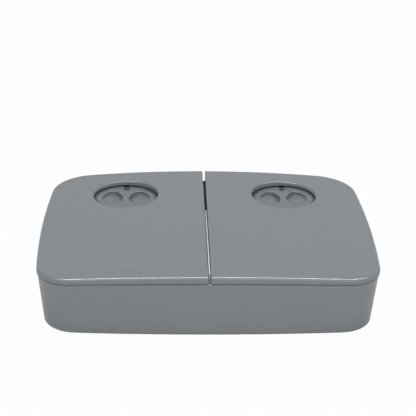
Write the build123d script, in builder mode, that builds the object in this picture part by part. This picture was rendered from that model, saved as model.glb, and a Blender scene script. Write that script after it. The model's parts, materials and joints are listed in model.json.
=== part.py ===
from build123d import *
import math
import os

# Two meal pet feeder in millimetres, +Z up, front towards -Y.
# The origin is on the floor, under the middle of the body.

os.makedirs("parts", exist_ok=True)

# Overall body
width = 321.0
depth = 248.0
height = 66.8
foot_height = 1.5
rim_z = 55.0
rim_crown_radius = 7000.0
parting_gap = 1.1
wall = 2.4
base_floor = 2.5

# Plan outline of the body's rim: bows are how far each side swells past its corners
front_bow = 0.9
rear_bow = 11.2
side_bow = 5.9
front_corner = 32.5
rear_corner = 41.0

# Plan outline at the foot of the tapered body
foot_inset = 4.0
foot_front_bow = 5.8
foot_rear_bow = 5.8
foot_front_corner = 32.5
foot_rear_corner = 38.0
foot_edge = 2.0
rim_edge = 1.3

# Lids
lid_overhang = 0.7
lid_gap = 2.7
lid_slope = 0.908
crown_radius = 3500.0
border_width = 12.0
border_step = 0.5
border_round = 4.0
lid_edge = 3.0
lid_inner_edge = 1.0
gap_edge = 0.8
gap_corner = 3.0
lid_stop_radius = 3.0
lid_stop_gap = 0.2
lid_stop_near = 20.0
lid_stop_side = 34.8
lid_stop_front = 17.0

# Hinge of the lids
hinge_inset = 4.2
hinge_z = 58.7
hinge_barrel = 3.4
hinge_ear = 2.7
hinge_pin = 1.25
hinge_running = 0.07
ear_width = 6.0
ear_near = 16.0
ear_far = 56.0
ear_side_gap = 0.4
hinge_window_top = 3.6
hinge_window_gap = 0.2
hinge_swing_lean = 0.9
spring_window = 14.8
pin_overhang = 0.2
ear_root = 10.0
ear_root_inset = 0.6
lid_wire = 0.45
lid_coil = 2.2
lid_coil_length = 12.4
lid_turns = 8
lid_leg_turn = 307.0
lid_leg_base = 9.0
lid_leg_lid = 10.2

# Seat that carries the tray and the timer deck
seat_z = 51.0
plate = 2.0
seat_gap = 0.6
partition_to_dial = 30.5
partition = 4.0
well_half_width = 13.0
well_depth = 15.0
well_floor = 30.0

# Food tray
bowl_divider = 10.0
bowl_side_gap = 8.5
bowl_front_gap = 9.0
bowl_depth = 34.0
bowl_corner = 30.0
bowl_taper = 12.0
bowl_bottom_edge = 9.0
bowl_wall = 1.8
ridge_width = 1.5
ridge_height = 2.4
rib_thickness = 3.0
rib_depth = 5.0
front_rib_near = 40.0
front_rib_side = 49.8
side_rib_front = 48.3
side_rib_rear = 108.3

# Timer dials
dial_x = 81.0
dial_to_rear = 62.0
dial_hole = 32.8
dial_radius = 30.2
dial_drop = 4.6
dial_underside = 54.0
dial_hub = 6.5
dial_hub_bottom = 50.0
dial_hub_depth = 5.5
hole_edge = 1.8
collar = 2.0
collar_gap = 0.6
serrations = 80
serration_radius = 0.95
scoop_reach = 23.7
scoop_inner = 3.5
scoop_curve = 24.0
scoop_corner = 5.0
scoop_depth = 4.5
scoop_shallow = 2.2
scoop_edge = 0.9
pointer_width = 6.0
pointer_length = 6.0
pointer_depth = 1.6
pointer_sink = 0.3

# Shaft, cam and latch bolt of each timer
shaft_radius = 3.0
shaft_flat = 2.2
shaft_bottom = 22.0
key_clearance = 0.05
running = 0.05
cam_bottom = 43.5
cam_thickness = 5.0
cam_start = 8.0
cam_lift = 5.0
cam_sweep = 330.0
cam_clearance = 0.2
cam_dwell = 15.0
bolt_nose = 1.2
bolt_nose_length = 4.0
bolt_radius = 2.5
bolt_shoulder = 4.0
bolt_shoulder_width = 2.0
bolt_slide = 0.1
bolt_tip_gap = 2.0
latch_wire = 0.3
latch_coil = 3.1
latch_turns = 6
guide_thickness = 3.0
guide_half_width = 6.0
guide_bottom = 41.5
guide_gap = 0.5
outer_guide_x = 65.5
shoulder_x = 61.0
catch_x = 43.5
catch_thickness = 2.0
catch_width = 12.0
catch_window = 7.0
catch_bar = 3.0
slot_side = 1.0
slot_front = 4.0
slot_rear = 2.0

# Timer cases, hung under the deck
case_size = 52.0
case_height = 22.0
case_wall = 2.0
case_corner = 4.0
cover_length = 68.0
cover_top = 40.0
cover_boss = 6.0
cover_boss_height = 2.5
post_radius = 3.0
post_x = 30.0
post_y = 20.0
screw_radius = 1.5
screw_hole = 1.7
screw_head = 2.8
screw_head_height = 1.6
screw_length = 8.0

movement_size = 44.0
movement_height = 12.0
movement_can = 7.0
movement_can_x = 13.0
movement_can_y = 12.0

# Battery bays in the floor
cell_radius = 7.1
cell_length = 49.2
cell_nub_radius = 2.7
cell_nub = 1.3
cell_clearance = 0.5
bay_x = 27.0
bay_behind_dial = 8.0
bay_width = 16.0
bay_length = 58.0
bay_wall = 1.6
bay_height = 18.5
cell_edge = 1.0
contact_thickness = 0.4
contact_width = 11.0
contact_wire = 0.35
contact_coil = 3.6
contact_turns = 4
door_gap = 0.3
door_plate = 2.0
door_barrel = 1.2
door_pin = 0.9
door_pin_length = 1.4
door_notch = 5.0

# Feet and fasteners
foot_radius = 7.0
foot_recess = 1.0
foot_edge_round = 0.6
foot_front_side = 33.8
foot_front_inset = 33.3
foot_rear_side = 41.8
foot_rear_inset = 39.3
boss_radius = 4.0
deck_screw_side = 16.8
deck_screw_front = 18.0
deck_screw_rear_side = 37.8
deck_screw_rear = 35.0
deck_screw_middle = 9.0

# Places worked out from the sizes above
half_width = width / 2 - lid_overhang
front_y = -depth / 2 + lid_overhang
rear_y = depth / 2 - lid_overhang
lid_rear_y = depth / 2
hinge_y = lid_rear_y - hinge_inset
dial_y = lid_rear_y - dial_to_rear
partition_y = dial_y - partition_to_dial
bay_y = dial_y + bay_behind_dial
crown_y = lid_rear_y - border_width
lid_bottom = rim_z + parting_gap
seat_top = seat_z + plate
crown_at_dial = crown_radius - math.sqrt(crown_radius**2 - dial_x**2)
slope_at_dial = (crown_y - dial_y) * math.tan(math.radians(lid_slope))
dial_top = height - crown_at_dial - slope_at_dial - dial_drop
collar_bottom = dial_top + collar_gap
cam_middle = cam_bottom + cam_thickness / 2
bolt_nose_x = dial_x - cam_start - cam_clearance
bolt_tip_x = catch_x + catch_thickness / 2 + bolt_tip_gap
inner_guide_x = bolt_tip_x + guide_gap + guide_thickness / 2
floor_top = foot_height + base_floor
door_axis_y = bay_y + bay_length / 2 - door_barrel - door_gap
door_axis_z = foot_height + door_gap + door_barrel
spring_start = (ear_near + ear_far - lid_coil_length) / 2
front_ribs_at = (front_rib_near, half_width - front_rib_side)
side_ribs_at = (front_y + side_rib_front, front_y + side_rib_rear)
lid_stops_at = [(lid_stop_near, dial_y - lid_stop_front),
                (half_width - lid_stop_side, dial_y - lid_stop_front)]
feet_at = [(half_width - foot_front_side, front_y + foot_front_inset),
           (half_width - foot_rear_side, rear_y - foot_rear_inset)]
deck_screws_at = [(half_width - deck_screw_side, dial_y - deck_screw_front),
                  (half_width - deck_screw_rear_side, dial_y + deck_screw_rear),
                  (deck_screw_middle, dial_y + deck_screw_rear)]
timer_posts_at = [(dial_x + i * post_x, dial_y + j * post_y) for i in (-1, 1) for j in (-1, 1)]


def plan(inset=0.0, share=1.0):
    """Plan outline as a sketch; share is 1 at the rim and 0 at the foot of the taper."""

    def blend(at_rim, at_foot):
        return at_rim * share + at_foot * (1 - share)

    side = half_width - blend(0, foot_inset) - inset
    front = front_y + blend(0, foot_inset) + inset
    rear = rear_y - blend(0, foot_inset) - inset
    corner_x = side - side_bow
    front_corner_y = front + blend(front_bow, foot_front_bow)
    rear_corner_y = rear - blend(rear_bow, foot_rear_bow)
    with BuildSketch() as outline:
        with BuildLine():
            ThreePointArc((-corner_x, front_corner_y), (0, front), (corner_x, front_corner_y))
            ThreePointArc((corner_x, front_corner_y), (side, 0), (corner_x, rear_corner_y))
            ThreePointArc((corner_x, rear_corner_y), (0, rear), (-corner_x, rear_corner_y))
            ThreePointArc((-corner_x, rear_corner_y), (-side, 0), (-corner_x, front_corner_y))
        make_face()
        corners = outline.vertices().group_by(Axis.Y)
        fillet(corners[0], radius=blend(front_corner, foot_front_corner) - inset)
        corners = outline.vertices().group_by(Axis.Y)
        fillet(corners[-1], radius=blend(rear_corner, foot_rear_corner) - inset)
    return outline.sketch


def taper_share(z):
    """How far up the taper a level is, from 0 at the foot to 1 at the rim."""
    return (z - foot_height) / (rim_z - foot_height)


def tapered_block(bottom, top, inset):
    """Solid between two levels that follows the tapered body, set in by a distance."""
    with BuildPart() as block:
        with BuildSketch(Plane.XY.offset(bottom)):
            add(plan(inset, taper_share(bottom)))
        with BuildSketch(Plane.XY.offset(top)):
            add(plan(inset, taper_share(top)))
        loft(ruled=True)
    return block.part


def crowned_block(top, radius):
    """Tall block whose upper face is a shallow crown across the body."""
    side = half_width + wall
    drop = radius - math.sqrt(radius**2 - side**2)
    with BuildPart() as block:
        with BuildSketch(Plane.XZ.offset(-depth)):
            with BuildLine():
                ThreePointArc((-side, top - drop), (0, top), (side, top - drop))
                Polyline((side, top - drop), (side, 0), (-side, 0), (-side, top - drop))
            make_face()
        extrude(amount=2 * depth)
    return block.part


def lid_top_block(top):
    """Tall block under the lids' crown, which falls to the front from the field's rear edge."""
    return crowned_block(top, crown_radius).rotate(Axis((0, crown_y, top), (1, 0, 0)), lid_slope)


def upright(x, y, radius, bottom, top):
    """Upright round solid between two levels."""
    with BuildPart() as column:
        with BuildSketch(Plane.XY.offset(bottom)):
            with Locations((x, y)):
                Circle(radius)
        extrude(amount=top - bottom)
    return column.part


def box_between(x0, x1, y0, y1, z0, z1):
    """Plain block between two corners."""
    with BuildPart() as block:
        with BuildSketch(Plane.XY.offset(z0)):
            with Locations(((x0 + x1) / 2, (y0 + y1) / 2)):
                Rectangle(x1 - x0, y1 - y0)
        extrude(amount=z1 - z0)
    return block.part


def rod_along_x(x0, x1, y, z, radius):
    """Round rod along X."""
    with BuildPart() as rod:
        with BuildSketch(Plane((x0, y, z), x_dir=(0, 1, 0), z_dir=(1, 0, 0))):
            Circle(radius)
        extrude(amount=x1 - x0)
    return rod.part


def both_sides(part):
    """The part of the right side together with its mirror image."""
    with BuildPart() as pair:
        add(part)
        mirror(part, about=Plane.YZ)
    return pair.part


def mirrored(part):
    """The mirror image of a part of the right side."""
    with BuildPart() as other:
        mirror(part, about=Plane.YZ)
    return other.part


def save(part, name):
    """Label a finished piece and write its file."""
    part.label = name
    export_step(part, f"parts/{name}.step")


# Base shell: tapered tub with ribs, partition, hinge ears, bosses and battery bays

def hinge_ears():
    """Right pair of ears that hold the hinge pin, with their roots on the rear wall."""
    with BuildPart() as ears:
        for x in (ear_near, ear_far):
            with BuildSketch(Plane.YZ.offset(x - ear_width / 2)):
                with Locations((hinge_y, hinge_z)):
                    Circle(hinge_ear)
                with Locations((hinge_y, (hinge_z + rim_z) / 2)):
                    Rectangle(2 * hinge_ear, hinge_z - rim_z)
                with Locations((hinge_y - ear_root_inset / 2, rim_z - ear_root / 2)):
                    Rectangle(2 * hinge_ear - ear_root_inset, ear_root)
                with Locations((hinge_y, hinge_z)):
                    Circle(hinge_pin, mode=Mode.SUBTRACT)
            extrude(amount=ear_width)
        add(box_between(spring_start - 3 * lid_wire, spring_start + 3 * lid_wire,
                        hinge_y - lid_coil + lid_wire, hinge_y + wall / 2, rim_z - ear_root,
                        rim_z))
    return ears.part


def tray_ribs():
    """Right ribs that carry the rim of the tray, on the front and side walls."""
    with BuildPart() as ribs:
        for x in front_ribs_at:
            add(box_between(x - rib_thickness / 2, x + rib_thickness / 2, front_y, front_y + wall
                            + rib_depth, foot_height, seat_z))
        for y in side_ribs_at:
            add(box_between(half_width - wall - rib_depth, half_width, y - rib_thickness / 2,
                            y + rib_thickness / 2, foot_height, seat_z))
    return ribs.part


def battery_bay(grow, top):
    """Block of the right battery bay, from the bottom of the body up to a level."""
    return box_between(bay_x - bay_width / 2 - grow, bay_x + bay_width / 2 + grow,
                       bay_y - bay_length / 2 - grow, bay_y + bay_length / 2 + grow,
                       foot_height, top)


with BuildPart() as inner_fittings:
    add(tapered_block(floor_top, seat_z, wall / 2))
    with BuildSketch(Plane.XY.offset(floor_top)):
        with Locations((0, partition_y)):
            Rectangle(width, partition)
        with Locations(deck_screws_at + [(-x, y) for x, y in deck_screws_at]):
            Circle(boss_radius)
    extrude(amount=seat_z - floor_top, mode=Mode.INTERSECT)

with BuildPart() as base_ribs:
    add(tapered_block(floor_top, seat_z, wall / 2))
    add(both_sides(tray_ribs()), mode=Mode.INTERSECT)

with BuildPart() as base_shell:
    add(tapered_block(foot_height, rim_z, 0))
    add(crowned_block(rim_z, rim_crown_radius), mode=Mode.INTERSECT)
    fillet(base_shell.faces().sort_by(Axis.Z)[0].edges(), radius=foot_edge)
    fillet(base_shell.faces().sort_by(Axis.Z)[-1].edges(), radius=rim_edge)
    add(tapered_block(floor_top, rim_z, wall), mode=Mode.SUBTRACT)
    add(inner_fittings.part)
    add(base_ribs.part)
    add(both_sides(battery_bay(bay_wall, floor_top + bay_height)))
    add(both_sides(hinge_ears()))
    # Bays, door pin bores, screw pilots and foot recesses
    add(both_sides(battery_bay(0, floor_top + bay_height - bay_wall)), mode=Mode.SUBTRACT)
    door_reach = bay_width / 2 - door_gap + door_pin_length + running
    add(both_sides(rod_along_x(bay_x - door_reach, bay_x + door_reach, door_axis_y, door_axis_z,
                               door_pin + running)), mode=Mode.SUBTRACT)
    with BuildSketch(Plane.XY.offset(seat_z)):
        with Locations(deck_screws_at + [(-x, y) for x, y in deck_screws_at]):
            Circle(screw_radius)
    extrude(amount=-screw_length, mode=Mode.SUBTRACT)
    with BuildSketch(Plane.XY.offset(foot_height)):
        with Locations(feet_at + [(-x, y) for x, y in feet_at]):
            Circle(foot_radius)
    extrude(amount=foot_recess, mode=Mode.SUBTRACT)
    # Finger well between tray and deck
    with BuildSketch(Plane.XY.offset(well_floor)):
        with Locations((0, partition_y)):
            Rectangle(2 * well_half_width, 2 * partition)
    extrude(amount=seat_z, mode=Mode.SUBTRACT)
save(base_shell.part, "base_shell")


# Food tray: one plate with two bowls and a ridge between them

tray_rear = partition_y - seat_gap / 2
bowl_left = bowl_divider / 2
bowl_right = half_width - side_bow / 2 - wall - bowl_side_gap
bowl_front = front_y + front_bow / 2 + wall + bowl_front_gap
bowl_rear = partition_y - partition / 2 - seat_gap - plate
bowl_centre = ((bowl_left + bowl_right) / 2, (bowl_front + bowl_rear) / 2)


def bowl(grow):
    """Right bowl as a tapered block, grown outwards for the shell round it."""
    with BuildPart() as block:
        with BuildSketch(Plane.XY.offset(seat_top)):
            with Locations(bowl_centre):
                RectangleRounded(bowl_right - bowl_left + 2 * grow, bowl_rear - bowl_front
                                 + 2 * grow, bowl_corner + grow)
        extrude(amount=-(bowl_depth + grow), taper=bowl_taper)
        fillet(block.faces().sort_by(Axis.Z)[0].edges(), radius=bowl_bottom_edge + grow)
    return block.part


with BuildPart() as food_tray:
    with BuildSketch(Plane.XY.offset(seat_z)):
        add(plan(wall + seat_gap, taper_share(seat_z)))
        with Locations((0, tray_rear)):
            Rectangle(width, depth, align=(Align.CENTER, Align.MIN), mode=Mode.SUBTRACT)
    extrude(amount=plate)
    add(both_sides(bowl(bowl_wall)))
    with BuildSketch(Plane.XY.offset(seat_top)):
        with Locations((0, (bowl_front + bowl_rear) / 2)):
            Rectangle(ridge_width, bowl_rear - bowl_front + bowl_divider)
    extrude(amount=ridge_height)
    fillet(food_tray.faces().sort_by(Axis.Z)[-1].edges(), radius=ridge_width / 4)
    add(both_sides(bowl(0)), mode=Mode.SUBTRACT)
save(food_tray.part, "food_tray")


# Timer deck: cover plate of the rear compartment, with bolt guides and timer posts

def bolt_guide(x):
    """Right guide block for the latch bolt, hung from the deck."""
    return box_between(x - guide_thickness / 2, x + guide_thickness / 2, dial_y - guide_half_width,
                       dial_y + guide_half_width, guide_bottom, seat_z)


with BuildPart() as timer_deck:
    with BuildSketch(Plane.XY.offset(seat_z)):
        add(plan(wall + seat_gap, taper_share(seat_z)))
        with Locations((0, partition_y + seat_gap / 2)):
            Rectangle(width, depth, align=(Align.CENTER, Align.MAX), mode=Mode.SUBTRACT)
        with Locations((0, hinge_y - hinge_barrel - seat_gap)):
            Rectangle(width, depth, align=(Align.CENTER, Align.MIN), mode=Mode.SUBTRACT)
        with Locations((0, partition_y)):
            Rectangle(2 * well_half_width, 2 * well_depth, mode=Mode.SUBTRACT)
        with Locations((dial_x, dial_y), (-dial_x, dial_y)):
            Circle(dial_hub + slot_side, mode=Mode.SUBTRACT)
        slot_length = catch_width + slot_front + slot_rear
        slot_y = dial_y + (slot_rear - slot_front) / 2
        with Locations((catch_x, slot_y), (-catch_x, slot_y)):
            Rectangle(catch_thickness + 2 * slot_side, slot_length, mode=Mode.SUBTRACT)
    extrude(amount=plate)
    for guide_x in (inner_guide_x, outer_guide_x):
        add(both_sides(bolt_guide(guide_x)))
    for post in timer_posts_at:
        add(both_sides(upright(*post, post_radius, cover_top, seat_z)))
        add(both_sides(upright(*post, screw_radius, cover_top, cover_top + screw_length)),
            mode=Mode.SUBTRACT)
    guide_bore = rod_along_x(catch_x, bolt_nose_x, dial_y, cam_middle, bolt_radius + bolt_slide)
    add(both_sides(guide_bore), mode=Mode.SUBTRACT)
    for screw in deck_screws_at:
        add(both_sides(upright(*screw, screw_hole, seat_z, seat_top)), mode=Mode.SUBTRACT)
save(timer_deck.part, "timer_deck")


# Lids

def hinge_profile():
    """Space behind and below the lid's rear edge that the edge must leave free to swing."""
    with BuildSketch() as space:
        with BuildLine():
            Polyline((hinge_y + hinge_barrel, hinge_z),
                     (hinge_y + hinge_barrel + hinge_swing_lean, hinge_z + hinge_window_top),
                     (hinge_y + 3 * hinge_barrel, hinge_z + hinge_window_top),
                     (hinge_y + 3 * hinge_barrel, hinge_z - 2 * hinge_barrel),
                     (hinge_y, hinge_z - 2 * hinge_barrel), (hinge_y, hinge_z - hinge_barrel))
            RadiusArc((hinge_y, hinge_z - hinge_barrel), (hinge_y + hinge_barrel, hinge_z),
                      -hinge_barrel)
        make_face()
    return space.sketch


def hinge_window(x, length):
    """Window through the lid's rear skirt around an ear or the spring."""
    return box_between(x - length / 2, x + length / 2,
                       hinge_y - hinge_barrel - hinge_window_gap,
                       hinge_y + 3 * hinge_barrel, rim_z, hinge_z + hinge_window_top)


def lid_blank(inset, top, edge):
    """Right lid as a full block: plan outline, crowned top and rounded outer top edge."""
    with BuildPart() as blank:
        with BuildSketch(Plane.XY.offset(seat_z)):
            add(plan(inset))
            with Locations((lid_gap / 2, 0)):
                Rectangle(width, 2 * depth, align=(Align.MIN, Align.CENTER),
                          mode=Mode.INTERSECT)
        extrude(amount=height)
        add(lid_top_block(top), mode=Mode.INTERSECT)
        crown = blank.faces().sort_by(Axis.Z)[-1]
        fillet(crown.edges().filter_by(lambda edge: edge.center().X > lid_gap), radius=edge)
    return blank.part


def raised_field():
    """The slightly higher middle field of the right lid's top."""
    with BuildPart() as field:
        with BuildSketch(Plane.XY.offset(seat_z)):
            add(plan(border_width - lid_overhang))
            with Locations((lid_gap / 2, 0)):
                Rectangle(width, 2 * depth, align=(Align.MIN, Align.CENTER),
                          mode=Mode.INTERSECT)
        extrude(amount=height)
        add(lid_top_block(height), mode=Mode.INTERSECT)
        crown = field.faces().sort_by(Axis.Z)[-1]
        fillet(crown.edges().filter_by(lambda edge: edge.center().X > lid_gap),
               radius=border_round)
    return field.part


with BuildPart() as lid_inside:
    add(lid_blank(wall - lid_overhang, height - border_step - wall, lid_inner_edge))
    add(box_between(lid_gap / 2, lid_gap / 2 + wall, -depth, depth, seat_z, 2 * height),
        mode=Mode.SUBTRACT)

barrel_start = ear_near + ear_width / 2 + ear_side_gap
barrel_end = ear_far - ear_width / 2 - ear_side_gap

with BuildPart() as lid_fittings:
    add(upright(dial_x, dial_y, dial_hole + collar, collar_bottom, height))
    for stop in lid_stops_at:
        add(upright(*stop, lid_stop_radius, seat_top + lid_stop_gap, height))
    add(box_between(catch_x - catch_thickness / 2, catch_x + catch_thickness / 2,
                    dial_y - catch_width / 2, dial_y + catch_width / 2,
                    cam_middle - catch_window / 2 - catch_bar, height))
    add(rod_along_x(barrel_start, barrel_end, hinge_y, hinge_z, hinge_barrel))
    add(box_between(barrel_start, barrel_end, hinge_y - hinge_barrel / 2,
                    hinge_y + hinge_barrel / 2, hinge_z, height))
    add(lid_top_block(height - border_step - wall / 2), mode=Mode.INTERSECT)

with BuildPart() as lid_right:
    add(lid_blank(-lid_overhang, height - border_step, lid_edge))
    add(raised_field())
    add(lid_inside.part, mode=Mode.SUBTRACT)
    add(crowned_block(lid_bottom, rim_crown_radius), mode=Mode.SUBTRACT)
    add(lid_fittings.part)
    with BuildSketch(Plane.YZ):
        add(hinge_profile())
    extrude(amount=width, mode=Mode.SUBTRACT)
    for x in (ear_near, ear_far):
        add(hinge_window(x, ear_width + 2 * ear_side_gap), mode=Mode.SUBTRACT)
    add(hinge_window((ear_near + ear_far) / 2, spring_window), mode=Mode.SUBTRACT)
    add(rod_along_x(ear_near, ear_far, hinge_y, hinge_z, hinge_pin + hinge_running),
        mode=Mode.SUBTRACT)
    add(upright(dial_x, dial_y, dial_hole, dial_underside, 2 * height), mode=Mode.SUBTRACT)
    add(box_between(catch_x - catch_thickness, catch_x + catch_thickness,
                    dial_y - catch_window / 2, dial_y + catch_window / 2,
                    cam_middle - catch_window / 2, cam_middle + catch_window / 2),
        mode=Mode.SUBTRACT)
    # Rounded rim of the dial hole, rounded edge and corners along the gap
    well = lid_right.faces().filter_by(
        lambda face: face.radius is not None and abs(face.radius - dial_hole) < running)
    fillet(well.edges().sort_by(Axis.Z)[-1], radius=hole_edge)
    with BuildSketch(Plane.XZ.offset(-depth)):
        with Locations((lid_gap / 2, height)):
            Rectangle(gap_edge, gap_edge, align=(Align.MIN, Align.MAX))
        with Locations((lid_gap / 2 + gap_edge, height - gap_edge)):
            Circle(gap_edge, mode=Mode.SUBTRACT)
    extrude(amount=2 * depth, mode=Mode.SUBTRACT)
    with BuildSketch():
        for end in (-1, 1):
            with Locations((lid_gap / 2, end * (lid_rear_y + gap_edge))):
                Rectangle(gap_corner, gap_corner + gap_edge,
                          align=(Align.MIN, Align.MIN if end < 0 else Align.MAX))
            with Locations((lid_gap / 2 + gap_corner, end * (lid_rear_y - gap_corner))):
                Circle(gap_corner, mode=Mode.SUBTRACT)
    extrude(amount=2 * height, mode=Mode.SUBTRACT)
save(lid_right.part, "lid_right")
save(mirrored(lid_right.part), "lid_left")


# Timer dials with their pointers, shafts and cams

def keyed_bore(bottom, top, grow):
    """Round bar with one flat, as on the end of the right dial's shaft."""
    with BuildPart() as bar:
        with BuildSketch(Plane((dial_x, dial_y, bottom))):
            Circle(shaft_radius + grow)
            with Locations((0, -shaft_flat - grow)):
                Rectangle(4 * shaft_radius, shaft_radius, align=(Align.CENTER, Align.MAX),
                          mode=Mode.SUBTRACT)
        extrude(amount=top - bottom)
    return bar.part


def finger_scoop():
    """Half-moon scoop right of the right dial's grip bar, deepest along the bar."""
    with BuildPart() as scoop:
        with BuildSketch(Plane((dial_x, dial_y, dial_top - scoop_depth))) as moon:
            Circle(scoop_reach)
            with Locations((scoop_inner + scoop_curve, 0)):
                Circle(scoop_curve, mode=Mode.INTERSECT)
            fillet(moon.vertices(), radius=scoop_corner)
        extrude(amount=2 * scoop_depth)
        with BuildSketch(Plane.XZ.offset(-dial_y)):
            with BuildLine():
                Polyline((dial_x, dial_top - scoop_depth),
                         (dial_x + scoop_reach, dial_top - scoop_shallow),
                         (dial_x + scoop_reach, dial_top - 2 * scoop_depth),
                         (dial_x, dial_top - 2 * scoop_depth), (dial_x, dial_top - scoop_depth))
            make_face()
        extrude(amount=dial_radius, both=True, mode=Mode.SUBTRACT)
    return scoop.part


dial_middle = Plane.YZ.offset(dial_x)

with BuildPart() as dial_right:
    with BuildSketch(Plane((dial_x, dial_y, dial_underside))):
        Circle(dial_radius)
        with PolarLocations(dial_radius, serrations):
            Circle(serration_radius, mode=Mode.SUBTRACT)
    extrude(amount=dial_top - dial_underside)
    add(upright(dial_x, dial_y, dial_hub, dial_hub_bottom, dial_underside + plate))
    add(keyed_bore(dial_hub_bottom, dial_hub_bottom + dial_hub_depth, key_clearance),
        mode=Mode.SUBTRACT)
    add(finger_scoop(), mode=Mode.SUBTRACT)
    mirror(finger_scoop(), about=dial_middle, mode=Mode.SUBTRACT)
    add(box_between(dial_x - pointer_width / 2, dial_x + pointer_width / 2,
                    dial_y + dial_radius - pointer_length, dial_y + 2 * dial_radius,
                    dial_top - pointer_depth, 2 * dial_top), mode=Mode.SUBTRACT)
    lips = dial_right.faces().sort_by(Axis.Z)[-1].inner_wires()
    fillet([edge for lip in lips for edge in lip.edges()], radius=scoop_edge)
save(dial_right.part, "dial_right")
save(mirrored(dial_right.part), "dial_left")

pointer = box_between(dial_x - pointer_width / 2, dial_x + pointer_width / 2,
                      dial_y + dial_radius - pointer_length, dial_y + dial_radius
                      - serration_radius, dial_top - pointer_depth, dial_top - pointer_sink)
save(pointer, "dial_pointer_right")
save(mirrored(pointer), "dial_pointer_left")

with BuildPart() as dial_shaft:
    add(upright(dial_x, dial_y, shaft_radius, shaft_bottom, cam_bottom))
    add(keyed_bore(cam_bottom, dial_hub_bottom + dial_hub_depth - running, 0))
save(dial_shaft.part, "dial_shaft_right")
save(mirrored(dial_shaft.part), "dial_shaft_left")


def release_cam(side):
    """Snail cam of one dial: its radius grows evenly from the bolt's nose, then drops back."""
    centre = Plane((side * dial_x, dial_y, cam_bottom))
    nose_at = 180.0 if side > 0 else 0.0
    steps = 12

    def rim(turn):
        radius = cam_start + cam_lift * max(turn, 0) / cam_sweep
        angle = math.radians(nose_at + turn)
        return (radius * math.cos(angle), radius * math.sin(angle))

    with BuildPart() as cam:
        with BuildSketch(centre):
            with BuildLine():
                Spline([rim(cam_sweep * step / steps) for step in range(steps + 1)])
                Line(rim(cam_sweep), rim(-cam_dwell))
                RadiusArc(rim(-cam_dwell), rim(0), -cam_start)
            make_face()
            Circle(shaft_radius + key_clearance, mode=Mode.SUBTRACT)
        extrude(amount=cam_thickness)
        key = box_between(dial_x - shaft_radius, dial_x + shaft_radius,
                          dial_y - shaft_radius - running, dial_y - shaft_flat - key_clearance,
                          cam_bottom, cam_bottom + cam_thickness)
        add(key if side > 0 else mirrored(key))
    return cam.part


save(release_cam(1), "release_cam_right")
save(release_cam(-1), "release_cam_left")

# Latch bolt: round rod with a shoulder for its spring and a small round nose on the cam

with BuildPart() as latch_bolt:
    with BuildSketch(Plane.XZ.offset(-dial_y)):
        with BuildLine():
            shoulder_start = shoulder_x - bolt_shoulder_width / 2
            shoulder_end = shoulder_x + bolt_shoulder_width / 2
            Polyline((bolt_nose_x, cam_middle), (bolt_tip_x, cam_middle),
                     (bolt_tip_x, cam_middle + bolt_radius),
                     (shoulder_start, cam_middle + bolt_radius),
                     (shoulder_start, cam_middle + bolt_shoulder),
                     (shoulder_end, cam_middle + bolt_shoulder),
                     (shoulder_end, cam_middle + bolt_radius),
                     (bolt_nose_x - bolt_nose_length, cam_middle + bolt_radius),
                     (bolt_nose_x - bolt_nose, cam_middle + bolt_nose))
            RadiusArc((bolt_nose_x - bolt_nose, cam_middle + bolt_nose),
                      (bolt_nose_x, cam_middle), bolt_nose)
        make_face()
    revolve(axis=Axis((0, dial_y, cam_middle), (1, 0, 0)))
save(latch_bolt.part, "latch_bolt_right")
save(mirrored(latch_bolt.part), "latch_bolt_left")


# Springs

def coil(radius, wire, turns, length, lefthand=False):
    """Coil spring that rises along +Z from the origin, as one unbroken wire."""
    with BuildPart() as spring:
        with BuildLine() as path:
            Helix(length / turns, length, radius, lefthand=lefthand)
        with BuildSketch(Plane(path.line @ 0, z_dir=path.line % 0)):
            Circle(wire)
        sweep(path=path.line)
    return spring.part, path.line


spring_room = shoulder_start - inner_guide_x - guide_thickness / 2
latch_length = spring_room - 2 * latch_wire - 2 * running
latch_coil_part, _ = coil(latch_coil, latch_wire, latch_turns, latch_length)
latch_seat = Plane((inner_guide_x + guide_thickness / 2 + latch_wire + running, dial_y,
                    cam_middle), x_dir=(0, 1, 0), z_dir=(1, 0, 0))
latch_spring = latch_seat.location * latch_coil_part
save(latch_spring, "latch_spring_right")
save(mirrored(latch_spring), "latch_spring_left")

lid_turns_in_all = lid_turns + lid_leg_turn / 360
lid_coil_part, lid_path = coil(lid_coil, lid_wire, lid_turns_in_all, lid_coil_length, True)
with BuildPart() as lid_coil_with_legs:
    add(lid_coil_part)
    with BuildSketch(Plane(lid_path @ 0, z_dir=lid_path % 0)):
        Circle(lid_wire)
    extrude(amount=-lid_leg_base)
    with BuildSketch(Plane(lid_path @ 1, z_dir=lid_path % 1)):
        Circle(lid_wire)
    extrude(amount=lid_leg_lid)
spring_seat = Plane((spring_start, hinge_y, hinge_z), x_dir=(0, -1, 0), z_dir=(1, 0, 0))
lid_spring = spring_seat.location * lid_coil_with_legs.part
save(lid_spring, "lid_spring_right")
save(mirrored(lid_spring), "lid_spring_left")

pin = rod_along_x(ear_near - ear_width / 2 - pin_overhang, ear_far + ear_width / 2
                  + pin_overhang, hinge_y, hinge_z, hinge_pin)
save(pin, "hinge_pin_right")
save(mirrored(pin), "hinge_pin_left")


# Timer cases with their covers and movements

case_top = cover_top - plate
case_bottom = case_top - case_height
timer_middle = (dial_x, dial_y)

with BuildPart() as timer_case:
    with BuildSketch(Plane.XY.offset(case_bottom)):
        with Locations(timer_middle):
            RectangleRounded(case_size, case_size, case_corner)
    extrude(amount=case_height)
    with BuildSketch(Plane.XY.offset(case_bottom + case_wall)):
        with Locations(timer_middle):
            RectangleRounded(case_size - 2 * case_wall, case_size - 2 * case_wall,
                             case_corner - case_wall)
    extrude(amount=case_height, mode=Mode.SUBTRACT)
save(timer_case.part, "timer_case_right")
save(mirrored(timer_case.part), "timer_case_left")

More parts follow.
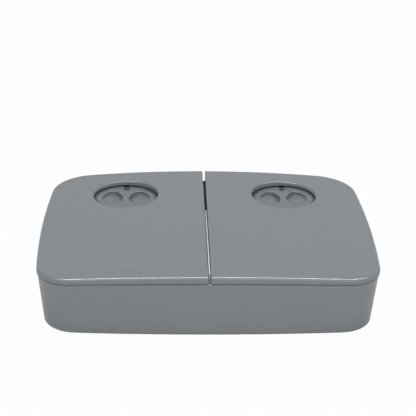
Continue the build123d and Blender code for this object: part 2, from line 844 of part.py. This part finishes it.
with BuildPart() as timer_cover:
    with BuildSketch(Plane.XY.offset(case_top)):
        with Locations(timer_middle):
            RectangleRounded(cover_length, case_size, case_corner)
        with Locations(timer_posts_at):
            Circle(screw_hole, mode=Mode.SUBTRACT)
    extrude(amount=plate)
    add(upright(*timer_middle, cover_boss, case_top, cover_top + cover_boss_height))
    add(upright(*timer_middle, shaft_radius + running, case_bottom, rim_z), mode=Mode.SUBTRACT)
save(timer_cover.part, "timer_cover_right")
save(mirrored(timer_cover.part), "timer_cover_left")

movement_bottom = case_bottom + case_wall
with BuildPart() as timer_movement:
    with BuildSketch(Plane.XY.offset(movement_bottom)):
        with Locations(timer_middle):
            RectangleRounded(movement_size, movement_size, case_corner)
    extrude(amount=movement_height)
    for can in ((dial_x + movement_can_x, dial_y - movement_can_y),
                (dial_x - movement_can_x, dial_y + movement_can_y)):
        add(upright(*can, movement_can, movement_bottom, case_top - seat_gap))
    add(upright(*timer_middle, shaft_radius + running, shaft_bottom - running, rim_z),
        mode=Mode.SUBTRACT)
save(timer_movement.part, "timer_movement_right")
save(mirrored(timer_movement.part), "timer_movement_left")


# Power: one cell for each timer, its contacts and the door under it

def rod_along_y(x, z, radius, y0, y1):
    """Round rod along Y."""
    with BuildPart() as rod:
        with BuildSketch(Plane((x, y0, z), x_dir=(1, 0, 0), z_dir=(0, 1, 0))):
            Circle(radius)
        extrude(amount=y1 - y0)
    return rod.part


bay_front = bay_y - bay_length / 2
bay_rear = bay_y + bay_length / 2
door_bottom = foot_height + door_gap
door_top = door_bottom + door_plate
cell_z = door_top + cell_clearance + cell_radius
cell_front = bay_front + contact_thickness + cell_nub
cell_rear = cell_front + cell_length

with BuildPart() as aa_cell:
    add(rod_along_y(bay_x, cell_z, cell_radius, cell_front, cell_rear))
    fillet(aa_cell.edges().filter_by(GeomType.CIRCLE), radius=cell_edge)
    add(rod_along_y(bay_x, cell_z, cell_nub_radius, cell_front - cell_nub, cell_front))
save(aa_cell.part, "aa_cell_right")
save(mirrored(aa_cell.part), "aa_cell_left")

contact_plate = box_between(bay_x - contact_width / 2, bay_x + contact_width / 2, bay_front,
                            bay_front + contact_thickness, cell_z - contact_width / 2,
                            cell_z + contact_width / 2)
save(contact_plate, "contact_plate_right")
save(mirrored(contact_plate), "contact_plate_left")

contact_room = bay_rear - contact_thickness - cell_rear - 2 * contact_wire
contact_coil_part, _ = coil(contact_coil, contact_wire, contact_turns, contact_room)
contact_seat = Plane((bay_x, cell_rear + contact_wire, cell_z), x_dir=(1, 0, 0),
                     z_dir=(0, 1, 0))
with BuildPart() as contact_spring:
    add(contact_seat.location * contact_coil_part)
    add(box_between(bay_x - contact_width / 2, bay_x + contact_width / 2,
                    bay_rear - contact_thickness - contact_wire / 2, bay_rear,
                    cell_z - contact_width / 2, cell_z + contact_width / 2))
save(contact_spring.part, "contact_spring_right")
save(mirrored(contact_spring.part), "contact_spring_left")

door_half = bay_width / 2 - door_gap
with BuildPart() as battery_door:
    add(box_between(bay_x - door_half, bay_x + door_half, bay_front + door_gap, door_axis_y,
                    door_bottom, door_top))
    add(rod_along_x(bay_x - door_half, bay_x + door_half, door_axis_y, door_axis_z,
                    door_barrel))
    add(rod_along_x(bay_x - door_half - door_pin_length, bay_x + door_half + door_pin_length,
                    door_axis_y, door_axis_z, door_pin))
    add(upright(bay_x, bay_front + door_gap + 2 * door_notch, door_notch, foot_height,
                door_bottom + door_plate / 3), mode=Mode.SUBTRACT)
save(battery_door.part, "battery_door_right")
save(mirrored(battery_door.part), "battery_door_left")


# Feet and screws

with BuildPart() as rubber_feet:
    with BuildSketch():
        with Locations(feet_at + [(-x, y) for x, y in feet_at]):
            Circle(foot_radius - running)
    extrude(amount=foot_height + foot_recess)
    fillet(rubber_feet.edges().group_by(Axis.Z)[0], radius=foot_edge_round)
save(rubber_feet.part, "rubber_feet")


def screw(x, y, seat, up):
    """Pan-head screw on a seat level; up is 1 where its head stands on top of the seat."""
    with BuildPart() as one:
        add(upright(x, y, screw_head, *sorted((seat, seat + up * screw_head_height))))
        add(upright(x, y, screw_radius, *sorted((seat, seat - up * screw_length))))
    return one.part


with BuildPart() as deck_screws:
    for x, y in deck_screws_at:
        add(both_sides(screw(x, y, seat_top, 1)))
save(deck_screws.part, "deck_screws")

with BuildPart() as timer_screws:
    for x, y in timer_posts_at:
        add(both_sides(screw(x, y, case_top, -1)))
save(timer_screws.part, "timer_screws")
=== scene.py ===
import json
import math

import bmesh
import bpy
from mathutils import Matrix, Vector

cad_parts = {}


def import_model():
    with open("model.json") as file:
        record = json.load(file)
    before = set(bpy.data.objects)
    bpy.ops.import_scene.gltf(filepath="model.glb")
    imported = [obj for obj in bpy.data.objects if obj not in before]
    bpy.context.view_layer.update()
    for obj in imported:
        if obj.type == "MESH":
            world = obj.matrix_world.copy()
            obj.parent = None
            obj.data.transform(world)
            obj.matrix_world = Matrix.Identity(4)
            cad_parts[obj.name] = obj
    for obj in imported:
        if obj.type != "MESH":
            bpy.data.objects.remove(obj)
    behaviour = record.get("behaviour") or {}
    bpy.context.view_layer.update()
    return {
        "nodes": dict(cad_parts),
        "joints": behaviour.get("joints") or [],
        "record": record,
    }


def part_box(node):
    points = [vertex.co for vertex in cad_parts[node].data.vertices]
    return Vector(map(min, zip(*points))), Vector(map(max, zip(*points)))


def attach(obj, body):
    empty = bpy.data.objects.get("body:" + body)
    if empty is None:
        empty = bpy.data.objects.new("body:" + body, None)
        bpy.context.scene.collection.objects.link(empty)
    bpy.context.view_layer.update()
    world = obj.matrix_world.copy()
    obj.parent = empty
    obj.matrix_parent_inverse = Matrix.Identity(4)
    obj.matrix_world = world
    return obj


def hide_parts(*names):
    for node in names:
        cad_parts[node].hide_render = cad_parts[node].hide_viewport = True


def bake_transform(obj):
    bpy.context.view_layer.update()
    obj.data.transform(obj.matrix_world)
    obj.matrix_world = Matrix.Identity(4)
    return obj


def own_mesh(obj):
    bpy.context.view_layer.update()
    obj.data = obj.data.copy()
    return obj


# Two meal pet feeder: finishes, light and camera round the fixed frame, in metres.

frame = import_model()
nodes = frame["nodes"]
joints = {joint["name"]: joint for joint in frame["joints"]}

# Colours as they look, from 0 to 255
lid_colour = (122, 127, 131)
dial_colour = (110, 115, 120)
body_colour = (122, 126, 128)
tray_colour = (222, 225, 226)
# Painted shade: the deck's colour is the base's grey darkened to how the deck looks in its shadow
deck_painted_shade_colour = (56, 55, 61)
case_colour = (34, 34, 37)
pointer_colour = (24, 24, 27)
acetal_colour = (222, 222, 215)
steel_colour = (168, 170, 172)
spring_colour = (140, 142, 146)
brass_colour = (196, 162, 92)
cell_colour = (60, 88, 74)
rubber_colour = (44, 44, 46)
floor_colour = (236, 237, 239)

# Detail of the plastics: size of the cloudy patches, and depth of the moulded grain
cloud_scale = 22.0
cloud_detail = 3.0
grain_depth = 0.0002

# Detail of the metals: streaks, and the shares by which they change the gloss and the colour
streak_scale = 300.0
streak_gloss = (0.7, 1.3)
streak_tint = (0.9, 1.1)

# Looks of the record's material slots, each with its mean roughness
plastics = {
    "lid_plastic": dict(colour=lid_colour, roughness=0.24, mottle=0.012, grain=1400, bump=0.015,
                        specular=0.3),
    "dial_plastic": dict(colour=dial_colour, roughness=0.27, mottle=0.012, grain=1400, bump=0.02,
                         specular=0.3),
    "body_plastic": dict(colour=body_colour, roughness=0.34, grain=1100, bump=0.04),
    "tray_plastic": dict(colour=tray_colour, roughness=0.28, mottle=0.01, grain=1500, bump=0.01),
    # The deck's finish carries the painted shade of its colour
    "deck_plastic": dict(colour=deck_painted_shade_colour, roughness=0.55, grain=900, bump=0.08),
    "case_plastic": dict(colour=case_colour, roughness=0.5, grain=900, bump=0.06),
    "pointer_plastic": dict(colour=pointer_colour, roughness=0.5, grain=900, bump=0.05),
    "acetal": dict(colour=acetal_colour, roughness=0.32, mottle=0.01, grain=1200, bump=0.01),
    "cell_case": dict(colour=cell_colour, roughness=0.3, grain=700, bump=0.02),
    "rubber": dict(colour=rubber_colour, roughness=0.8, mottle=0.05, grain=600, bump=0.15,
                   specular=0.3),
}
metals = {
    "steel": dict(colour=steel_colour, roughness=0.26, stretch=6.0),
    "spring_steel": dict(colour=spring_colour, roughness=0.34, stretch=4.0),
    "brass": dict(colour=brass_colour, roughness=0.3, stretch=5.0),
}

# Teeth of each dial's knurled rim
tooth_count = 80
tooth_root = 0.0292
tooth_tip = 0.0322
tooth_half_width = 0.00062
tooth_tip_share = 0.8
tooth_height = 0.0028
tooth_drop = 0.00005
tooth_gap_angle = math.radians(6.5)

# Pointer insert of each dial
pointer_length = 0.0098
pointer_proud = 0.0001
pointer_edge = 0.00015

# Index mark in front of each dial
mark_y = 0.0214
mark_width = 0.0068
mark_length = 0.0052
mark_height = 0.00025
mark_sink = 0.0003
mark_rear_share = 0.35
mark_top_share = 0.92
mark_edge = 0.0001
probe_height = 1.0

# Rib of the tray between the lids
rib_half = 0.0006
rib_top = 0.0628
rib_sink = 0.0006
rib_front_inset = 0.0028
rib_rear_inset = 0.0062
rib_edge = 0.0002

# Softened edges of the small pieces
edge_segments = 3
round_profile = 0.5

# Floor and surround
floor_size = 12.0
floor_drop = 0.0002
floor_roughness = 0.9
floor_white_share = 0.96
surround_tint = (0.97, 0.985, 1.0, 1.0)
surround_strength = 0.55
white_strength = 1.0

# Studio lamps, with powers in watts
lamps = {
    "overhead": dict(place=(0.02, -0.08, 1.1), aim=(0.0, -0.02, 0.05), size=(1.2, 0.1), power=4.6),
    "edge_strip": dict(place=(0.03, -0.21, 1.1), aim=(0.0, -0.12, 0.05), size=(1.9, 0.06), power=52.0,
                       gloss_only=True),
    "front_fill": dict(place=(0.1, -1.5, 0.9), aim=(0.0, 0.0, 0.05), size=(1.6, 1.0), power=8.8),
}

# Camera
image_width = 416
focal_pixels = 1220.16
view_elevation = math.radians(23.475)
view_yaw = math.radians(-1.864)
view_roll = math.radians(0.8905)
view_distance = 1.19209
view_target = Vector((0.00134, 0.0, 0.07626))
sensor_width = 36.0
far_clip = 50.0


def linear(colour):
    """Scene-linear RGBA of a colour given from 0 to 255, by the sRGB curve."""
    channels = [c / 255 for c in colour]
    return [c / 12.92 if c <= 0.04045 else ((c + 0.055) / 1.055) ** 2.4 for c in channels] + [1.0]


def shaded(name):
    """New node material, with its tree and its Principled shader."""
    material = bpy.data.materials.new(name)
    material.use_nodes = True
    tree = material.node_tree
    return material, tree, tree.nodes["Principled BSDF"]


def noise(tree, place, scale, detail=2.0):
    """Noise from 0 to 1 over the places that a socket gives."""
    texture = tree.nodes.new("ShaderNodeTexNoise")
    texture.inputs["Scale"].default_value = scale
    texture.inputs["Detail"].default_value = detail
    tree.links.new(place, texture.inputs["Vector"])
    return texture.outputs["Fac"]


def ranged(tree, factor, low, high):
    """A factor from 0 to 1 turned into a value from low to high."""
    spread = tree.nodes.new("ShaderNodeMapRange")
    spread.inputs["To Min"].default_value = low
    spread.inputs["To Max"].default_value = high
    tree.links.new(factor, spread.inputs["Value"])
    return spread.outputs["Result"]


def tinted(tree, shader, colour, tint):
    """Base colour of a shader: one colour, made darker and lighter by a tint."""
    shade = tree.nodes.new("ShaderNodeVectorMath")
    shade.operation = "SCALE"
    shade.inputs[0].default_value = linear(colour)[:3]
    tree.links.new(tint, shade.inputs["Scale"])
    tree.links.new(shade.outputs["Vector"], shader.inputs["Base Color"])


def plastic(name, colour, roughness, grain, bump, mottle=0.02, specular=0.5, roughness_spread=0.06):
    """Moulded plastic: faint cloudy colour, slightly uneven gloss and a fine moulded grain."""
    material, tree, shader = shaded(name)
    shader.inputs["Specular IOR Level"].default_value = specular
    place = tree.nodes.new("ShaderNodeTexCoord").outputs["Object"]
    clouds = noise(tree, place, cloud_scale, cloud_detail)
    tinted(tree, shader, colour, ranged(tree, clouds, 1.0 - mottle, 1.0 + mottle))
    gloss = ranged(tree, clouds, roughness - roughness_spread, roughness + roughness_spread)
    tree.links.new(gloss, shader.inputs["Roughness"])
    relief = tree.nodes.new("ShaderNodeBump")
    relief.inputs["Strength"].default_value = bump
    relief.inputs["Distance"].default_value = grain_depth
    tree.links.new(noise(tree, place, grain), relief.inputs["Height"])
    tree.links.new(relief.outputs["Normal"], shader.inputs["Normal"])
    return material


def metal(name, colour, roughness, stretch):
    """Drawn or pressed metal with fine streaks along X."""
    material, tree, shader = shaded(name)
    shader.inputs["Metallic"].default_value = 1.0
    place = tree.nodes.new("ShaderNodeTexCoord").outputs["Object"]
    mapping = tree.nodes.new("ShaderNodeMapping")
    mapping.inputs["Scale"].default_value = (1.0, stretch, stretch)
    tree.links.new(place, mapping.inputs["Vector"])
    streaks = noise(tree, mapping.outputs["Vector"], streak_scale)
    gloss = ranged(tree, streaks, *(roughness * share for share in streak_gloss))
    tree.links.new(gloss, shader.inputs["Roughness"])
    tinted(tree, shader, colour, ranged(tree, streaks, *streak_tint))
    return material


def floor():
    """Plain pale floor that reads white to the camera and still takes the soft shadow."""
    bpy.ops.mesh.primitive_plane_add(size=floor_size, location=(0, 0, -floor_drop))
    plane = bpy.context.object
    plane.name = "floor"
    material, tree, shader = shaded("floor")
    shader.inputs["Base Color"].default_value = linear(floor_colour)
    shader.inputs["Roughness"].default_value = floor_roughness
    shader.inputs["Specular IOR Level"].default_value = 0.0
    rays = tree.nodes.new("ShaderNodeLightPath")
    glow = tree.nodes.new("ShaderNodeEmission")
    mix = tree.nodes.new("ShaderNodeMixShader")
    share = tree.nodes.new("ShaderNodeMath")
    share.operation = "MULTIPLY"
    share.inputs[1].default_value = floor_white_share
    tree.links.new(rays.outputs["Is Camera Ray"], share.inputs[0])
    tree.links.new(share.outputs["Value"], mix.inputs["Fac"])
    tree.links.new(shader.outputs["BSDF"], mix.inputs[1])
    tree.links.new(glow.outputs["Emission"], mix.inputs[2])
    tree.links.new(mix.outputs["Shader"], tree.nodes["Material Output"].inputs["Surface"])
    plane.data.materials.append(material)


def world():
    """Even studio surround, white to the camera, to gloss and through clear materials."""
    surround = bpy.data.worlds.new("studio")
    bpy.context.scene.world = surround
    surround.use_nodes = True
    tree = surround.node_tree
    light = tree.nodes["Background"]
    light.inputs["Color"].default_value = surround_tint
    light.inputs["Strength"].default_value = surround_strength
    white = tree.nodes.new("ShaderNodeBackground")
    white.inputs["Strength"].default_value = white_strength
    rays = tree.nodes.new("ShaderNodeLightPath")
    seen = rays.outputs["Is Camera Ray"]
    for kind in ("Is Glossy Ray", "Is Transmission Ray"):
        either = tree.nodes.new("ShaderNodeMath")
        either.operation = "MAXIMUM"
        tree.links.new(seen, either.inputs[0])
        tree.links.new(rays.outputs[kind], either.inputs[1])
        seen = either.outputs["Value"]
    mix = tree.nodes.new("ShaderNodeMixShader")
    tree.links.new(seen, mix.inputs["Fac"])
    tree.links.new(light.outputs["Background"], mix.inputs[1])
    tree.links.new(white.outputs["Background"], mix.inputs[2])
    tree.links.new(mix.outputs["Shader"], tree.nodes["World Output"].inputs["Surface"])


def softbox(name, place, aim, size, power, gloss_only=False):
    """Rectangular soft light aimed at a point. One for gloss alone shows in reflections only."""
    data = bpy.data.lights.new(name, "AREA")
    data.shape = "RECTANGLE"
    data.size, data.size_y = size
    data.energy = power
    lamp = bpy.data.objects.new(name, data)
    bpy.context.scene.collection.objects.link(lamp)
    lamp.visible_diffuse = not gloss_only
    lamp.location = place
    lamp.rotation_euler = (Vector(aim) - Vector(place)).to_track_quat("-Z", "Y").to_euler()


def camera():
    """Camera at the photograph's angle, distance and focal length."""
    back = Vector((math.sin(view_yaw) * math.cos(view_elevation),
                   -math.cos(view_yaw) * math.cos(view_elevation), math.sin(view_elevation)))
    right = Vector((0, 0, 1)).cross(back).normalized()
    up = back.cross(right)
    turned_right = right * math.cos(view_roll) + up * math.sin(view_roll)
    turned_up = up * math.cos(view_roll) - right * math.sin(view_roll)
    data = bpy.data.cameras.new("camera")
    data.sensor_width = sensor_width
    data.lens = sensor_width * focal_pixels / image_width
    data.clip_end = far_clip
    eye = bpy.data.objects.new("camera", data)
    bpy.context.scene.collection.objects.link(eye)
    matrix = Matrix((turned_right, turned_up, back)).transposed().to_4x4()
    matrix.translation = view_target + back * view_distance
    eye.matrix_world = matrix
    bpy.context.scene.camera = eye


def dress_nodes():
    """Gives each CAD node the finish of its material slot."""
    for part in frame["record"]["subparts"]:
        finishes = nodes[part["node"]].data.materials
        finishes.clear()
        finishes.append(materials[part["material_slot"]])


def new_piece(name, mesh_data, body, slot):
    """Finished bmesh as an object that rides on a body, with its slot's material."""
    mesh = bpy.data.meshes.new(name)
    bmesh.ops.recalc_face_normals(mesh_data, faces=mesh_data.faces)
    mesh_data.to_mesh(mesh)
    mesh_data.free()
    piece = bpy.data.objects.new(name, mesh)
    bpy.context.scene.collection.objects.link(piece)
    mesh.materials.append(materials[slot])
    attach(piece, body)
    return piece


def prism(mesh_data, outline, bottom, top, edge=0.0, top_share=1.0):
    """Upright solid from an outline, its top drawn in to a share, with softened top edges."""
    middle = [sum(p[axis] for p in outline) / len(outline) for axis in (0, 1)]
    low = [mesh_data.verts.new((x, y, bottom)) for x, y in outline]
    high = [mesh_data.verts.new((middle[0] + (x - middle[0]) * top_share,
                                 middle[1] + (y - middle[1]) * top_share, top)) for x, y in outline]
    mesh_data.faces.new(low[::-1])
    cap = mesh_data.faces.new(high)
    for i in range(len(outline)):
        j = (i + 1) % len(outline)
        mesh_data.faces.new((low[i], low[j], high[j], high[i]))
    if edge:
        bmesh.ops.bevel(mesh_data, geom=list(cap.edges), offset=edge, segments=edge_segments,
                        affect="EDGES", profile=round_profile)


def dial_teeth(side):
    """Knurled rim of a dial: a tapered tooth between each pair of notches, save at the pointer."""
    teeth = bmesh.new()
    centre_x, centre_y, _ = joints[f"dial_{side}_turn"]["pos_m"]
    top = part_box(f"dial_{side}")[1][2] - tooth_drop
    corners = ((tooth_root, -1), (tooth_tip, -tooth_tip_share), (tooth_tip, tooth_tip_share),
               (tooth_root, 1))
    for k in range(tooth_count):
        turn = 2 * math.pi * (k + 0.5) / tooth_count
        if abs(turn - math.pi / 2) < tooth_gap_angle:
            continue
        outline = []
        for radius, spread in corners:
            angle = turn + spread * tooth_half_width / radius
            outline.append((centre_x + radius * math.cos(angle), centre_y + radius * math.sin(angle)))
        prism(teeth, outline, top - tooth_height, top)
    new_piece(f"dial_teeth_{side}", teeth, f"dial_{side}", "dial_plastic")


def pointer_insert(side):
    """Dark insert that marks the dial's pointer from the rim inwards."""
    insert = bmesh.new()
    low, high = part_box(f"dial_pointer_{side}")
    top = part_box(f"dial_{side}")[1][2] + pointer_proud
    front = high[1] - pointer_length
    outline = [(low[0], front), (high[0], front), (high[0], high[1]), (low[0], high[1])]
    prism(insert, outline, low[2], top, edge=pointer_edge)
    piece = new_piece(f"pointer_insert_{side}", insert, f"dial_{side}", "pointer_plastic")
    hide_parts(f"dial_pointer_{side}")


def index_mark(side):
    """Small raised mark on the lid in front of its dial, narrower towards the dial."""
    mark = bmesh.new()
    middle = joints[f"dial_{side}_turn"]["pos_m"][0]
    start = Vector((middle, mark_y, probe_height))
    _, place, _, _ = nodes[f"lid_{side}"].ray_cast(start, Vector((0, 0, -1)))
    front = mark_y - mark_length / 2
    rear = mark_y + mark_length / 2
    front_half = mark_width / 2
    rear_half = front_half * mark_rear_share
    outline = [(middle - front_half, front), (middle + front_half, front),
               (middle + rear_half, rear), (middle - rear_half, rear)]
    prism(mark, outline, place.z - mark_sink, place.z + mark_height, edge=mark_edge,
          top_share=mark_top_share)
    new_piece(f"index_mark_{side}", mark, f"lid_{side}", "lid_plastic")


def tray_rib():
    """Thin upright rib of the tray that stands between the closed lids."""
    rib = bmesh.new()
    low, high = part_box("food_tray")
    rear = high[1] - rib_rear_inset
    front = low[1] + rib_front_inset
    outline = [(-rib_half, front), (rib_half, front), (rib_half, rear), (-rib_half, rear)]
    prism(rib, outline, high[2] - rib_sink, rib_top, edge=rib_edge)
    new_piece("tray_rib", rib, "base", "tray_plastic")


def copied(node, name, slot):
    """Copy of a spring's mesh as a piece of its own that stands for the node."""
    mesh = nodes[node].data.copy()
    piece = bpy.data.objects.new(name, mesh)
    bpy.context.scene.collection.objects.link(piece)
    mesh.materials.clear()
    mesh.materials.append(materials[slot])
    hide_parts(node)
    return piece


def lid_spring(side):
    """Lid spring as a fixed copy of its node, in spring steel."""
    wound = copied(f"lid_spring_{side}", f"lid_torsion_spring_{side}", "spring_steel")
    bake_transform(wound)


def latch_spring(side):
    """Latch spring as a copy of its node in spring steel, riding on the base."""
    pushed = copied(f"latch_spring_{side}", f"latch_coil_spring_{side}", "spring_steel")
    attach(pushed, "base")
    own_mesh(pushed)


materials = {slot: plastic(slot, **look) for slot, look in plastics.items()}
materials.update({slot: metal(slot, **look) for slot, look in metals.items()})

dress_nodes()
for side, sign in (("left", -1), ("right", 1)):
    dial_teeth(side)
    pointer_insert(side)
    index_mark(side)
    lid_spring(side)
    latch_spring(side)
tray_rib()
floor()
world()
for lamp_name, lamp in lamps.items():
    softbox(lamp_name, **lamp)
camera()
bpy.context.scene.view_settings.view_transform = "Standard"
